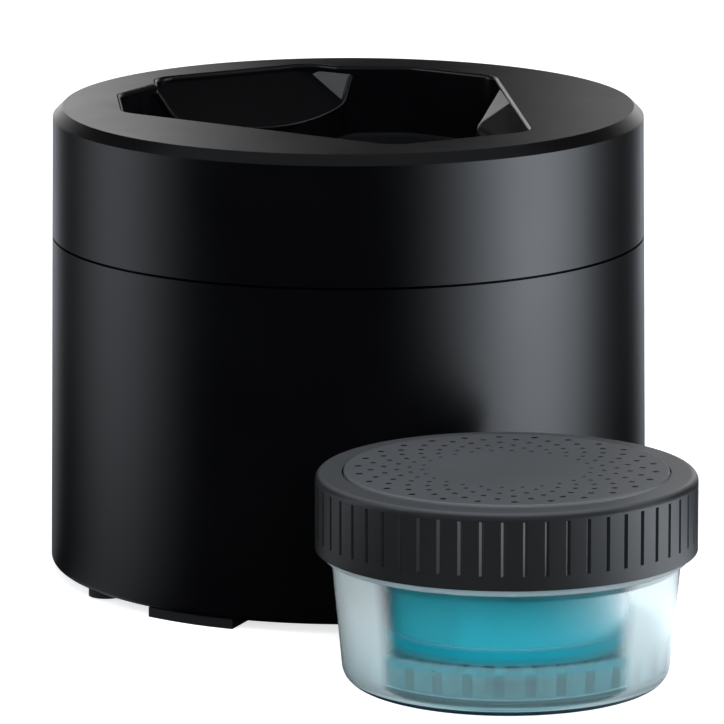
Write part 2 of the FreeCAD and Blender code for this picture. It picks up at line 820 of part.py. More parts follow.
def make_shaver_basin():
    """Bowl under the recess: flange and ears, three head dishes and the throat."""
    label = "shaver_basin"
    bowl = prism(
        "bowl_block", offset_outline("bowl_outline", well, "funnel_wall"),
        BASIN_UNDER, f"{FLANGE_TOP} - {BASIN_UNDER}",
    )
    flange = prism(
        "flange_block", offset_outline("flange_outline", well, "flange_width"),
        f"{FLANGE_TOP} - flange_thickness", "flange_thickness",
    )
    ears = []
    for k, (across, along) in enumerate(basin_screw_places(), start=1):
        low = f"{FLANGE_TOP} - flange_thickness"
        ears.append(rod(f"ear_{k}", across, along, low, "ear_radius", "flange_thickness"))
        ears.append(rod(
            f"ear_spacer_{k}", across, along, low, "basin_boss_radius",
            "flange_thickness + gasket_thickness",
        ))
    throat = rod("throat_tube", "0", "0", THROAT_END, THROAT_OUTER,
                 f"{BASIN_UNDER} + basin_floor / 2 - {THROAT_END}")
    solid = fuse("basin_solid", [bowl, flange, throat] + ears)

    hollow = prism("basin_hollow", well, BASIN_TOP, "recess_depth")
    ear_holes = [
        rod(f"ear_hole_{k}", across, along, f"{FLANGE_TOP} - flange_thickness - 1",
            "screw_radius + hole_gap", "flange_thickness + gasket_thickness + 2")
        for k, (across, along) in enumerate(basin_screw_places(), start=1)
    ]
    dish_places = [
        (across, f"dish_centre + {along}")
        for across, along in ring_places("dish_ring_radius", DISHES, -90)
    ]
    dishes = [
        rod(f"dish_{k}", across, along, f"{BASIN_TOP} - dish_depth", "dish_radius", "dish_depth + 1")
        for k, (across, along) in enumerate(dish_places, start=1)
    ]
    seat = rod("nozzle_seat", "0", "0", f"{BASIN_TOP} - nozzle_thickness",
               "nozzle_radius + fit_gap", "nozzle_thickness + 1")
    bore = rod("throat_bore", "0", "0", f"{THROAT_END} - 1", "throat_radius",
               f"{BASIN_TOP} + 2 - {THROAT_END}")
    hollows = fuse("basin_cuts", [hollow, seat, bore] + dishes + ear_holes)
    basin = cut(label, solid, hollows)
    basin.Label = label
    return finish(basin)


def make_basin_gasket():
    """Flat rubber strip between the recess walls and the basin's flange."""
    outer = prism(
        "gasket_outer", offset_outline("gasket_outline", well, "funnel_wall"),
        FLANGE_TOP, "gasket_thickness",
    )
    inner = prism("gasket_inner", well, f"{FLANGE_TOP} - 1", "gasket_thickness + 2")
    gasket = cut("basin_gasket", outer, inner)
    gasket.Label = "basin_gasket"
    return finish(gasket)


def make_nozzle_plate():
    """Slotted disc over the throat, which spreads the rising fluid."""
    body = new_body("nozzle_plate")
    low = f"({BASIN_TOP} - nozzle_thickness)"
    revolve(body, "nozzle_disc", [
        ("0", low),
        ("nozzle_radius", low),
        ("nozzle_radius", BASIN_TOP),
        ("nozzle_radius / 3", BASIN_TOP),
        ("nozzle_radius / 4", f"{BASIN_TOP} + nozzle_thickness / 2"),
        ("0", f"{BASIN_TOP} + nozzle_thickness / 2"),
    ])
    slot = draw_polygon(
        new_sketch(body, "XY_Plane", "nozzle_slot_sketch", f"{BASIN_TOP} + nozzle_thickness"),
        [
            ("nozzle_radius * 0.4", "-nozzle_slot_width / 2"),
            ("throat_radius - nozzle_slot_width / 2", "-nozzle_slot_width / 2"),
            ("throat_radius - nozzle_slot_width / 2", "nozzle_slot_width / 2"),
            ("nozzle_radius * 0.4", "nozzle_slot_width / 2"),
        ],
    )
    opening = pocket(body, "nozzle_slot", slot, "nozzle_thickness * 3")
    around(body, opening, NOZZLE_SLOTS, "nozzle_slots")
    return finish(body)


def make_throat_seal():
    """Rubber collar at the throat's end, which presses on the cartridge's inner lid."""
    body = new_body("throat_seal")
    inner = "(throat_radius + thread_gap)"
    outer = f"({THROAT_OUTER} + throat_seal_wall)"
    revolve(body, "collar", [
        (inner, f"{THROAT_END} - throat_seal_wall"),
        (f"{outer} - throat_seal_wall / 2", f"{THROAT_END} - throat_seal_wall"),
        (outer, f"{THROAT_END} - throat_seal_wall / 2"),
        (outer, f"{THROAT_END} + throat_seal_height"),
        (f"{THROAT_OUTER} + thread_gap", f"{THROAT_END} + throat_seal_height"),
        (f"{THROAT_OUTER} + thread_gap", THROAT_END),
        (inner, THROAT_END),
    ])
    return finish(body)


def make_guides():
    """Pointed wedges on the recess's flanks, ridged on top, which centre the shaver's head."""
    run = FreeCAD.Vector(
        size("recess_side_half") - size("recess_front_half"),
        size("recess_side") + size("recess_front"),
        0,
    )
    for label, side in (("right_guide", 1), ("left_guide", -1)):
        body = new_body(label)
        plan = draw_polygon(
            new_sketch(body, "XY_Plane", label + "_plan", f"{GUIDE_TOP} - guide_height"),
            [
                ("guide_start", "0"),
                ("guide_end", "0"),
                ("guide_tip", f"{side} * guide_reach"),
            ],
        )
        pad(body, label + "_block", plan, "guide_height")
        slope = "(guide_drop / guide_reach)"
        profile = draw_polygon(new_sketch(body, "YZ_Plane", label + "_slope"), [
            ("0", GUIDE_TOP),
            (f"{side} * (guide_reach + 1)", f"{GUIDE_TOP} - {slope} * (guide_reach + 1)"),
            (f"{side} * (guide_reach + 1)", f"{GUIDE_TOP} + 1"),
            ("0", f"{GUIDE_TOP} + 1"),
        ])
        pocket(body, label + "_rear_face", profile, "guide_end * 3", centred=True)
        fall = "(guide_drop / (guide_ridge - guide_tip))"
        profile = draw_polygon(new_sketch(body, "XZ_Plane", label + "_fall"), [
            ("guide_ridge", GUIDE_TOP),
            ("0", f"{GUIDE_TOP} - {fall} * guide_ridge"),
            ("0", f"{GUIDE_TOP} + 1"),
            ("guide_ridge", f"{GUIDE_TOP} + 1"),
        ])
        face = pocket(body, label + "_front_face", profile, "guide_reach * 3", centred=True)
        doc.recompute()
        ridge = [
            f"Edge{number}" for number, edge in enumerate(face.Shape.Edges, start=1)
            if edge_touches(edge, size("guide_tip"), side * size("guide_reach"))
            and edge.BoundBox.ZMin > size("foot_height") + size("body_height") - size("guide_height")
        ]
        round_edges(body, label + "_ridge", face, ridge, "guide_round")
        direction = math.degrees(math.atan2(run.y, side * run.x))
        corner = FreeCAD.Vector(side * size("recess_front_half"), -size("recess_front"), 0)
        body.Placement = FreeCAD.Placement(
            corner, FreeCAD.Rotation(FreeCAD.Vector(0, 0, 1), direction)
        )
        finish(body)


# ---------------------------------------------------------------- cleaning cartridge

def stand_in_front(body):
    """The cartridge's own pieces are drawn about Z and stood beside the pod."""
    ring = f"({BASE_RADIUS} + cartridge_gap + cap_radius)"
    bind(body, "Placement.Base.x", f"-{ring} * sin(cartridge_bearing)")
    bind(body, "Placement.Base.y", f"-{ring} * cos(cartridge_bearing)")
    return finish(body)


def make_cartridge_cup():
    """Clear cup: tapered wall, foot rim, shoulder flange, neck and the ribs inside."""
    body = new_body("cartridge_cup")
    cup = revolve(body, "cup_turn", [
        ("0", "cup_foot_recess"),
        ("cup_foot_rim_radius - cup_foot_recess", "cup_foot_recess"),
        ("cup_foot_rim_radius", "0"),
        ("cup_foot_radius", "0"),
        ("cup_radius", "cup_shoulder_height"),
        ("flange_radius", "cup_shoulder_height"),
        ("flange_radius", FLANGE_TOP_Z),
        ("neck_radius", FLANGE_TOP_Z),
        ("neck_radius", "neck_height"),
        (NECK_INNER, "neck_height"),
        (NECK_INNER, FLANGE_TOP_Z),
        ("cup_radius - cup_wall", "cup_shoulder_height - cup_wall"),
        ("cup_foot_radius - cup_wall", "cup_floor"),
        ("0", "cup_floor"),
    ])
    doc.recompute()
    outer = circle_edges(cup.Shape, size("cup_foot_radius"), 0)
    shaped = round_edges(body, "outer_rounding", cup, outer, "cup_bottom_round")
    doc.recompute()
    inner = circle_edges(
        shaped.Shape, size("cup_foot_radius") - size("cup_wall"), size("cup_floor")
    )
    round_edges(body, "inner_rounding", shaped, inner, "cup_bottom_round - cup_wall")
    rib = draw_polygon(new_sketch(body, "XZ_Plane", "rib_sketch"), [
        ("rib_inner_radius", "cup_floor - cup_wall / 2"),
        ("cup_foot_radius - cup_wall / 2", "cup_floor + cup_wall"),
        ("cup_foot_radius - cup_wall / 2", POT_UNDER),
        ("rib_inner_radius", POT_UNDER),
    ])
    fin = pad(body, "rib", rib, "rib_width", centred=True)
    around(body, fin, CUP_RIBS, "ribs")
    return stand_in_front(body)


def make_inner_pot():
    """Pot that holds the fluid; it stands on the cup's ribs and carries the filter."""
    body = new_body("inner_pot")
    inner = "(pot_radius - pot_wall)"
    revolve(body, "pot_turn", [
        ("0", POT_UNDER),
        ("pot_radius", POT_UNDER),
        ("pot_radius", "pot_flange_rise"),
        (f"{NECK_INNER} - fit_gap", "pot_flange_rise"),
        (f"{NECK_INNER} - fit_gap", POT_SHELF),
        ("pot_radius", POT_SHELF),
        ("pot_radius", f"{POT_SHELF} + filter_height"),
        (inner, f"{POT_SHELF} + filter_height"),
        (inner, f"{POT_UNDER} + pot_wall"),
        ("0", f"{POT_UNDER} + pot_wall"),
    ])
    return stand_in_front(body)


def make_cleaning_fluid():
    body = new_body("cleaning_fluid")
    radius = "(pot_radius - pot_wall - thread_gap)"
    low = f"({POT_UNDER} + pot_wall)"
    revolve(body, "fluid_turn", [
        ("0", low),
        (radius, low),
        (radius, "fluid_height"),
        ("0", "fluid_height"),
    ])
    return stand_in_front(body)


def make_filter_ring():
    """Foam ring that catches hair from the fluid that runs back."""
    body = new_body("filter_ring")
    inner = "(pot_radius + fit_gap)"
    outer = f"({NECK_INNER} - fit_gap)"
    revolve(body, "filter_turn", [
        (inner, POT_SHELF),
        (outer, POT_SHELF),
        (outer, f"{POT_SHELF} + filter_height"),
        (inner, f"{POT_SHELF} + filter_height"),
    ])
    return stand_in_front(body)


def make_cup_lid():
    """Inner lid on the neck: a centre hole for the throat and return slots round it."""
    body = new_body("cup_lid")
    plug = f"({NECK_INNER} - fit_gap)"
    plug_end = f"({POT_SHELF} + filter_height)"
    revolve(body, "lid_turn", [
        ("lid_hole_radius", "neck_height"),
        (f"{plug} - lid_thickness", "neck_height"),
        (f"{plug} - lid_thickness", plug_end),
        (plug, plug_end),
        (plug, "neck_height"),
        ("neck_radius", "neck_height"),
        ("neck_radius", LID_TOP),
        ("lid_hole_radius", LID_TOP),
    ])
    slot = draw_polygon(new_sketch(body, "XY_Plane", "lid_slot_sketch", LID_TOP), [
        ("lid_hole_radius + lid_slot_width", "-lid_slot_width / 2"),
        ("pot_radius", "-lid_slot_width / 2"),
        ("pot_radius", "lid_slot_width / 2"),
        ("lid_hole_radius + lid_slot_width", "lid_slot_width / 2"),
    ])
    opening = pocket(body, "lid_slot", slot, "lid_thickness")
    around(body, opening, LID_SLOTS, "lid_slots")
    return stand_in_front(body)


def make_cap_liner():
    """Soft disc under the cap, which closes the lid's holes for storage."""
    body = new_body("cap_liner")
    radius = "(neck_radius - liner_inset)"
    revolve(body, "liner_turn", [
        ("0", LID_TOP),
        (radius, LID_TOP),
        (radius, LINER_TOP),
        ("0", LINER_TOP),
    ])
    return stand_in_front(body)


def make_cap_ring():
    """Screw cap: deep skirt with finger grooves and a flat top with the disc's inlay."""
    body = new_body("cap_ring")
    inner = "(neck_radius + cap_thread_gap)"
    cap = revolve(body, "cap_turn", [
        (inner, CAP_END),
        ("cap_radius", CAP_END),
        ("cap_radius", CAP_TOP),
        ("disc_radius + cap_gap", CAP_TOP),
        ("disc_radius + cap_gap", DISC_SEAT),
        ("0", DISC_SEAT),
        ("0", LINER_TOP),
        (inner, LINER_TOP),
    ])
    doc.recompute()
    edge = circle_edges(cap.Shape, size("cap_radius"), value(CAP_TOP))
    round_edges(body, "cap_rounding", cap, edge, "cap_edge_round")
    # V section: full width at the skirt's face, twice that as far outside as it is deep
    groove = draw_polygon(
        new_sketch(body, "XY_Plane", "groove_sketch", f"{CAP_END} + groove_lift_height"),
        [
            ("cap_radius - groove_depth", "0"),
            ("cap_radius + groove_depth", "-groove_width"),
            ("cap_radius + groove_depth", "groove_width"),
        ],
    )
    length = f"{CAP_TOP} - {CAP_END} - groove_lift_height - groove_top_gap"
    slit = pocket(body, "groove", groove, length, upwards=True)
    around(body, slit, CAP_GROOVES, "grooves")
    return stand_in_front(body)


def make_cap_disc():
    """Raised disc let into the cap's top."""
    body = new_body("cap_disc")
    disc = revolve(body, "disc_turn", [
        ("0", DISC_SEAT),
        ("disc_radius", DISC_SEAT),
        ("disc_radius", f"{CAP_TOP} + disc_rise_height"),
        ("0", f"{CAP_TOP} + disc_rise_height"),
    ])
    doc.recompute()
    edge = circle_edges(disc.Shape, size("disc_radius"), value(f"{CAP_TOP} + disc_rise_height"))
    round_edges(body, "disc_rounding", disc, edge, "disc_round")
    return stand_in_front(body)


make_base_casing()
make_base_plate()
make_cartridge_bay()
make_rim_seal()
make_feet()
screw_group(
    "base_screws", ring_places(PLATE_RING, PLATE_SCREWS, -90),
    "(foot_height + screw_head_height)", "plate_boss_height - casing_wall",
)
screw_group(
    "bay_screws", ring_places(DECK_RING, DECK_SCREWS, 90),
    f"({SHELF} + deck_thickness)", "deck_boss_height - casing_wall", heads_down=False,
)
make_top_casing()
make_shaver_basin()
make_basin_gasket()
make_nozzle_plate()
make_throat_seal()
make_guides()
screw_group(
    "basin_screws", basin_screw_places(),
    f"({FLANGE_TOP} - flange_thickness)", "basin_screw_length",
)
make_cartridge_cup()
make_inner_pot()
make_cleaning_fluid()
make_filter_ring()
make_cup_lid()
make_cap_liner()
make_cap_ring()
make_cap_disc()

doc.recompute()
for item in doc.Objects:
    if "Invalid" in item.State or "Error" in item.State:
        raise RuntimeError(f"{item.Label} failed: {item.State}")
for piece in pieces:
    shape = piece.Shape
    if shape.isNull() or not shape.isValid():
        raise RuntimeError(f"{piece.Label} has no valid shape")
    shape.exportStep(f"parts/{piece.Label}.step")
    print(f"{piece.Label}: {len(shape.Solids)} solid(s), {shape.Volume / 1000:.2f} cm3")
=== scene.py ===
import bpy
import bmesh
import math
from mathutils import Matrix, Vector


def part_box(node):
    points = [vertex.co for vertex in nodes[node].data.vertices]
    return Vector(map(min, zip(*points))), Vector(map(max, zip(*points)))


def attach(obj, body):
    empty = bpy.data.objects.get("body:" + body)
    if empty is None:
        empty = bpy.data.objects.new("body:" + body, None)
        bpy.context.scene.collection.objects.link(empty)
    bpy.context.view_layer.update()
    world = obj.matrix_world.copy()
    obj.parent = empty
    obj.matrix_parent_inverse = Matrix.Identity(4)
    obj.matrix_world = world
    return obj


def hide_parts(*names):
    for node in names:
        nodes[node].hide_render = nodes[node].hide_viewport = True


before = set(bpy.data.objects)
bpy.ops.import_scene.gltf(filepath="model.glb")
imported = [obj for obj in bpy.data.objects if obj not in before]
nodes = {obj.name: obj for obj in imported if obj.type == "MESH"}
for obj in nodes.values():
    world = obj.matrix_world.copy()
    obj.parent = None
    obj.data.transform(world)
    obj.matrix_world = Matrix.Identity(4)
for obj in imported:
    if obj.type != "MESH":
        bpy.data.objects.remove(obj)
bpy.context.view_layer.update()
mm = 0.001
weld = 1e-6  # corners this near to each other, in metres, become one
tiny = 1e-7  # metres, less than any step between two corners


def linear(hexColour):
    # sRGB hex to the linear colour a shader wants
    parts = [int(hexColour[i:i + 2], 16) / 255 for i in (1, 3, 5)]
    return [p / 12.92 if p <= 0.04045 else ((p + 0.055) / 1.055) ** 2.4 for p in parts] + [1.0]


def addNode(tree, kind, inputs=None, **settings):
    # one node, its settings, and its inputs as values or as (node, output) links
    node = tree.nodes.new(kind)
    for name, value in settings.items():
        setattr(node, name, value)
    for name, value in (inputs or {}).items():
        if isinstance(value, tuple) and isinstance(value[0], bpy.types.Node):
            tree.links.new(value[0].outputs[value[1]], node.inputs[name])
        else:
            node.inputs[name].default_value = value
    return node


def addMap(tree, source, low, high):
    # source taken from low..high to 0..1, as a link for addNode
    return addNode(tree, "ShaderNodeMapRange", {
        "Value": source, "From Min": low, "From Max": high,
    }), 0


def addRamp(tree, source, marks):
    # a colour ramp over source; marks are (place, colour with alpha), from low to high
    low, high = marks[0][0], marks[-1][0]
    ramp = addNode(tree, "ShaderNodeValToRGB", {"Fac": addMap(tree, source, low, high)})
    stops = ramp.color_ramp.elements
    for number, (place, colour) in enumerate(marks):
        stop = stops[number] if number < 2 else stops.new(1)
        stop.position = (place - low) / (high - low)
        stop.color = colour
    return ramp


def startMaterial(name):
    material = bpy.data.materials.new(name)
    material.use_nodes = True
    tree = material.node_tree
    tree.nodes.clear()
    return material, tree, addNode(tree, "ShaderNodeTexCoord")


def finishMaterial(material, tree, shader):
    addNode(tree, "ShaderNodeOutputMaterial", {"Surface": (shader, 0)})
    return material


def dress(names, material):
    for name in names:
        slots = nodes[name].data.materials
        slots.clear()
        slots.append(material)


def addObject(name, data):
    thing = bpy.data.objects.new(name, data)
    bpy.context.scene.collection.objects.link(thing)
    return thing


def meshObject(name, bm):
    # turn a finished bmesh into an object of its own
    mesh = bpy.data.meshes.new(name)
    bm.to_mesh(mesh)
    bm.free()
    return addObject(name, mesh)


def makePiece(name, bm, material, body, replaces=()):
    bm.normal_update()
    piece = meshObject(name, bm)
    piece.data.materials.append(material)
    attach(piece, body)
    if replaces:
        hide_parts(*replaces)
    return piece


def lathe(corners, centre, segments):
    # turn a profile of (radius, height) in mm about the upright axis through centre;
    # an edge that lies on the axis is left out
    bm = bmesh.new()
    points = [bm.verts.new((centre[0] + r * mm, centre[1], z * mm)) for r, z in corners]
    onAxis = centre[0] + tiny
    for a, b in zip(points, points[1:] + points[:1]):
        if max(a.co.x, b.co.x) > onAxis:
            bm.edges.new((a, b))
    bmesh.ops.spin(
        bm, geom=bm.verts[:] + bm.edges[:], cent=(centre[0], centre[1], 0), axis=(0, 0, 1),
        angle=math.tau, steps=segments, use_merge=True,
    )
    bmesh.ops.remove_doubles(bm, verts=bm.verts[:], dist=weld)
    bmesh.ops.recalc_face_normals(bm, faces=bm.faces[:])
    return bm


def smoothByAngle(bm, degrees):
    for face in bm.faces:
        face.smooth = True
    for edge in bm.edges:
        edge.smooth = edge.is_manifold and edge.calc_face_angle() < math.radians(degrees)


print("stage: helpers ready")


mouldSizes = {
    "cooling": 18.0, "drift": 0.02,  # mm across a patch, and how far its roughness strays
    "bump": 0.3,
    # the paler top is a painted sheen, as if lit from above
    "blend": 0.5,  # mm over which a paler top begins
}


def mouldedPlastic(name, dark, light, roughness, grain, depth, top=None):
    # injection moulded plastic: a fine spark-eroded grain, in mm, that spreads the highlights,
    # and a slow change of gloss where the melt cooled unevenly. top is (level, colour): faces
    # above that level are painted that paler colour, a painted sheen as if lit from above
    s = mouldSizes
    material, tree, place = startMaterial(name)
    fine = addNode(tree, "ShaderNodeTexNoise", {
        "Vector": (place, "Object"), "Scale": 1 / (grain * mm), "Detail": 3.0, "Roughness": 0.55,
    })
    broad = addNode(tree, "ShaderNodeTexNoise", {
        "Vector": (place, "Object"), "Scale": 1 / (s["cooling"] * mm), "Detail": 2.0,
    })
    gloss = addNode(tree, "ShaderNodeMapRange", {
        "Value": (broad, "Fac"), "From Min": 0.3, "From Max": 0.7,
        "To Min": roughness - s["drift"], "To Max": roughness + s["drift"],
    })
    bump = addNode(tree, "ShaderNodeBump", {
        "Height": (fine, "Fac"), "Strength": s["bump"], "Distance": depth * mm,
    })
    tone = addNode(tree, "ShaderNodeMix", {
        0: (broad, "Fac"), 6: linear(dark), 7: linear(light),
    }, data_type="RGBA")
    # painted sheen: above the level the tone goes over to the paler colour
    if top:
        level, pale = top
        height = addNode(tree, "ShaderNodeSeparateXYZ", {0: (place, "Object")})
        tone = addNode(tree, "ShaderNodeMix", {
            0: addMap(tree, (height, "Z"), (level - s["blend"]) * mm, level * mm),
            6: (tone, 2), 7: linear(pale),
        }, data_type="RGBA")
    shader = addNode(tree, "ShaderNodeBsdfPrincipled", {
        "Base Color": (tone, 2), "Roughness": (gloss, "Result"), "Normal": (bump, "Normal"),
        "IOR": 1.5,
    })
    return finishMaterial(material, tree, shader)


milkSizes = {
    "skin": 0.6,  # mm to either side that still count as the outer skin
    "clearTo": 0.28, "milkyFrom": 0.41,  # slant of the wall, 0 when it faces the eye
    "atFoot": 0.6,  # share of the milk that is left at the very bottom
    "gain": 2.0,  # how much faster the cloud's colour comes in than its milk
}


def clearPlastic(name, s):
    # clear moulded plastic, slightly rough, so what lies behind it is soft. Its upright outer
    # skin is milky where the line of sight runs far through it. s holds the axis in metres,
    # the skin's radius and draft, the roughness of the skin and of the rest, and bands of
    # (level, tint, milk) by height: the plastic's deeper tint where it is thick, and painted
    # shade and painted light
    material, tree, place = startMaterial(name)
    offset = addNode(tree, "ShaderNodeVectorMath", {
        0: (place, "Object"), 1: (*s["centre"], 0),
    }, operation="SUBTRACT")
    flat = addNode(tree, "ShaderNodeVectorMath", {
        0: (offset, 0), 1: (1, 1, 0),
    }, operation="MULTIPLY")
    reach = addNode(tree, "ShaderNodeVectorMath", {0: (flat, 0)}, operation="LENGTH")
    height = addNode(tree, "ShaderNodeSeparateXYZ", {0: (offset, 0)})
    drafted = addNode(tree, "ShaderNodeMath", {
        0: (height, "Z"), 1: -s["draft"], 2: (reach, "Value"),
    }, operation="MULTIPLY_ADD")
    outside = addNode(tree, "ShaderNodeMath", {
        0: (drafted, 0), 1: s["radius"] * mm, 2: milkSizes["skin"] * mm,
    }, operation="COMPARE")
    gloss = addNode(tree, "ShaderNodeMapRange", {
        "Value": (outside, 0), "To Min": s["innerRough"], "To Max": s["outerRough"],
    })
    slant = addNode(tree, "ShaderNodeLayerWeight", {"Blend": 0.5})
    edge = addNode(tree, "ShaderNodeMapRange", {
        "Value": (slant, "Facing"),
        "From Min": milkSizes["clearTo"], "From Max": milkSizes["milkyFrom"],
    }, interpolation_type="SMOOTHSTEP")
    foot = addNode(tree, "ShaderNodeMapRange", {
        "Value": (height, "Z"), "From Min": 0.0, "From Max": s["foot"] * mm,
        "To Min": milkSizes["atFoot"],
    }, interpolation_type="SMOOTHSTEP")
    skinEdge = addNode(tree, "ShaderNodeMath", {
        0: (outside, 0), 1: (edge, 0),
    }, operation="MULTIPLY")
    share = addNode(tree, "ShaderNodeMath", {
        0: (foot, 0), 1: s["milkiest"],
    }, operation="MULTIPLY")
    milk = addNode(tree, "ShaderNodeMath", {
        0: (skinEdge, 0), 1: (share, 0),
    }, operation="MULTIPLY")
    # the bands paint shade and light by height, as well as the plastic's own tint
    marks = [(level * mm, linear(tint)[:3] + [own]) for level, tint, own in s["tintAndPaintedLightBands"]]
    ramp = addRamp(tree, (height, "Z"), marks)
    milky = addNode(tree, "ShaderNodeMath", {
        0: (ramp, "Alpha"), 1: (milk, 0),
    }, operation="MAXIMUM")
    clouded = addNode(tree, "ShaderNodeMath", {
        0: (milk, 0), 1: milkSizes["gain"],
    }, operation="MULTIPLY", use_clamp=True)
    clarity = addNode(tree, "ShaderNodeMath", {0: 1.0, 1: (milky, 0)}, operation="SUBTRACT")
    tone = addNode(tree, "ShaderNodeMix", {
        0: (clouded, 0), 6: (ramp, 0), 7: linear(s["cloud"]),
    }, data_type="RGBA")
    shader = addNode(tree, "ShaderNodeBsdfPrincipled", {
        "Base Color": (tone, 2), "Roughness": (gloss, 0), "IOR": 1.49,
        "Transmission Weight": (clarity, 0),
    })
    return finishMaterial(material, tree, shader)


liquidSizes = {
    "deep": "#12c3d8", "pale": "#62d8e6", "clouds": 26.0, "roughness": 0.25,
    "denseTo": 0.4, "clearFrom": 0.95,  # slant of its side, 0 when it faces the eye
    "least": 0.04, "most": 0.35,  # how clear it is between the two
}


def cleaningLiquid(name, s):
    # dyed water based liquid, slightly cloudy: dense in the middle, clearer at the edges; the
    # paler patches of the cloud also serve as painted light on its lit side
    material, tree, place = startMaterial(name)
    cloud = addNode(tree, "ShaderNodeTexNoise", {
        "Vector": (place, "Object"), "Scale": 1 / (s["clouds"] * mm), "Detail": 1.0,
    })
    # the paler patches are partly painted light
    tone = addNode(tree, "ShaderNodeMix", {
        0: (cloud, "Fac"), 6: linear(s["deep"]), 7: linear(s["pale"]),
    }, data_type="RGBA")
    slant = addNode(tree, "ShaderNodeLayerWeight", {"Blend": 0.5})
    clarity = addNode(tree, "ShaderNodeMapRange", {
        "Value": (slant, "Facing"), "From Min": s["denseTo"], "From Max": s["clearFrom"],
        "To Min": s["least"], "To Max": s["most"],
    }, interpolation_type="SMOOTHSTEP")
    shader = addNode(tree, "ShaderNodeBsdfPrincipled", {
        "Base Color": (tone, 2), "Roughness": s["roughness"], "IOR": 1.33,
        "Transmission Weight": (clarity, 0),
    })
    return finishMaterial(material, tree, shader)


rubberSizes = {"bloom": 0.6, "depth": 0.03, "bump": 0.3, "roughness": 0.75}


def softRubber(name, dark, light):
    # moulded elastomer: matt, with a slight bloom
    s = rubberSizes
    material, tree, place = startMaterial(name)
    bloom = addNode(tree, "ShaderNodeTexNoise", {
        "Vector": (place, "Object"), "Scale": 1 / (s["bloom"] * mm), "Detail": 4.0,
    })
    tone = addNode(tree, "ShaderNodeMix", {
        0: (bloom, "Fac"), 6: linear(dark), 7: linear(light),
    }, data_type="RGBA")
    bump = addNode(tree, "ShaderNodeBump", {
        "Height": (bloom, "Fac"), "Strength": s["bump"], "Distance": s["depth"] * mm,
    })
    shader = addNode(tree, "ShaderNodeBsdfPrincipled", {
        "Base Color": (tone, 2), "Roughness": s["roughness"], "Normal": (bump, "Normal"),
        "IOR": 1.5,
    })
    return finishMaterial(material, tree, shader)


steelSizes = {"colour": "#b9bdc2", "scratches": 0.2, "smooth": 0.25, "rough": 0.45}


def platedSteel(name, s):
    # cold headed screw, zinc plated: its fine scratches are drawn 0.2 mm wide, coarser than
    # they are, so that they show
    material, tree, place = startMaterial(name)
    scratch = addNode(tree, "ShaderNodeTexNoise", {
        "Vector": (place, "Object"), "Scale": 1 / (s["scratches"] * mm), "Detail": 2.0,
    })
    gloss = addNode(tree, "ShaderNodeMapRange", {
        "Value": (scratch, "Fac"), "To Min": s["smooth"], "To Max": s["rough"],
    })
    shader = addNode(tree, "ShaderNodeBsdfPrincipled", {
        "Base Color": linear(s["colour"]), "Metallic": 1.0, "Roughness": (gloss, "Result"),
    })
    return finishMaterial(material, tree, shader)


foamSizes = {
    "cells": 0.8, "depth": 0.4, "bump": 0.8, "roughness": 0.9,
    "dark": "#7d969b", "light": "#c9d8da",
}


def openFoam(name, s):
    # reticulated filter foam: open cells about 0.8 mm across, darker in their middle
    material, tree, place = startMaterial(name)
    cells = addNode(tree, "ShaderNodeTexVoronoi", {
        "Vector": (place, "Object"), "Scale": 1 / (s["cells"] * mm),
    })
    tone = addNode(tree, "ShaderNodeMix", {
        0: (cells, "Distance"), 6: linear(s["dark"]), 7: linear(s["light"]),
    }, data_type="RGBA")
    bump = addNode(tree, "ShaderNodeBump", {
        "Height": (cells, "Distance"), "Strength": s["bump"], "Distance": s["depth"] * mm,
    })
    shader = addNode(tree, "ShaderNodeBsdfPrincipled", {
        "Base Color": (tone, 2), "Roughness": s["roughness"], "Normal": (bump, "Normal"),
    })
    return finishMaterial(material, tree, shader)


# each with its two tones, its roughness, and the size and depth of its grain in mm
casingPlastic = mouldedPlastic("satinMouldedAbsBlack", "#030304", "#050506", 0.25, 0.16, 0.02)
topPlastic = mouldedPlastic("satinMouldedAbsTop", "#030304", "#050506", 0.25, 0.16, 0.02)
guidePlastic = mouldedPlastic("satinMouldedAbsGuide", "#07070a", "#0a0a0c", 0.30, 0.16, 0.02)
innerPlastic = mouldedPlastic(
    "mattMouldedPolypropyleneBlack", "#0b0b0c", "#101012", 0.5, 0.25, 0.04,
)
# the cap's top face, above 40.9 mm, is painted paler: a painted sheen as if lit from above
capPlasticPaintedTop = mouldedPlastic(
    "satinMouldedPolypropyleneCapPaintedTop", "#151617", "#1a1b1c", 0.36, 0.2, 0.02, (40.9, "#47484a"),
)
# the disc's mid grey is a painted sheen: paler than the cap's black, as if lit from above
discPlasticPaintedSheen = mouldedPlastic("fineMattCapDiscPaintedSheen", "#4c4d4f", "#525355", 0.48, 0.2, 0.02)
# painted shade: the dark plugs in the cap disc's holes
paintedHoleShade = mouldedPlastic(
    "paintedHoleShadeMaterial", "#050506", "#070708", 0.6, 0.25, 0.02,
)
lidPlastic = mouldedPlastic(
    "naturalMouldedPolypropyleneLid", "#a9bcc0", "#b8c8cb", 0.4, 0.3, 0.03,
)

